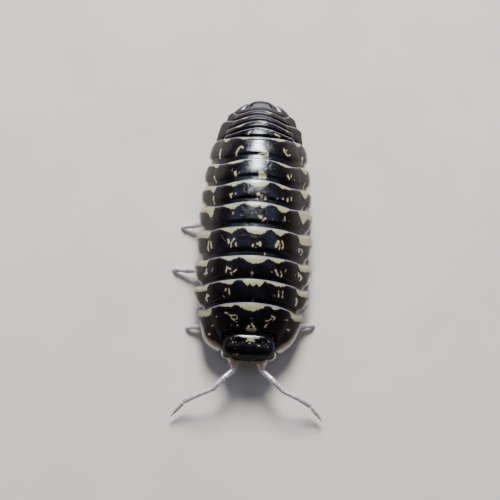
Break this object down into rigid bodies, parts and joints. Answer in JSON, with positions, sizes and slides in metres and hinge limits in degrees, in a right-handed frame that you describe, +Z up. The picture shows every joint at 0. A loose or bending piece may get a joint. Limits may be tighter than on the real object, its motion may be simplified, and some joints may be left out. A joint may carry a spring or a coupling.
{
  "type": "pillbug woodlouse",
  "caption": "Still, life-size model of a glossy black woodlouse with cream markings: a long vault of overlapping back plates, short legs below and jointed feelers spread in front.",
  "frame": {"origin": "on the floor, below the middle of the animal's whole length and width", "axes": "+Y from head to tail, +Z up, +X to the right in a view from above with the tail at the top"},
  "size_m": [0.0098, 0.0204, 0.0044],
  "materials": {
    "black_shell": "glossy, cream markings",
    "tail_shell": "glossy",
    "pale_limb": "satin, slightly see-through",
    "underside_skin": "matt",
    "eye_black": "glossy"
  },
  "bodies": {
    "root": {"antenna_left": "pale_limb", "antenna_right": "pale_limb", "antenna_whip_left": "pale_limb", "antenna_whip_right": "pale_limb", "eye_left": "eye_black", "eye_right": "eye_black", "gill_flaps_left": "underside_skin", "gill_flaps_right": "underside_skin", "head": "black_shell", "leg_left_1": "pale_limb", "leg_left_2": "pale_limb", "leg_left_3": "pale_limb", "leg_left_4": "pale_limb", "leg_left_5": "pale_limb", "leg_left_6": "pale_limb", "leg_left_7": "pale_limb", "leg_right_1": "pale_limb", "leg_right_2": "pale_limb", "leg_right_3": "pale_limb", "leg_right_4": "pale_limb", "leg_right_5": "pale_limb", "leg_right_6": "pale_limb", "leg_right_7": "pale_limb", "mouthparts": "underside_skin", "plate_1": "black_shell", "plate_2": "black_shell", "plate_3": "black_shell", "plate_4": "black_shell", "plate_5": "black_shell", "plate_6": "black_shell", "plate_7": "black_shell", "plate_8": "black_shell", "tail_plate_1": "tail_shell", "tail_plate_2": "tail_shell", "tail_plate_3": "tail_shell", "tail_plate_4": "tail_shell", "tail_plate_5": "tail_shell", "tail_underside": "underside_skin", "telson": "tail_shell", "underside": "underside_skin", "uropod_left": "tail_shell", "uropod_right": "tail_shell"}
  },
  "joints": []
}
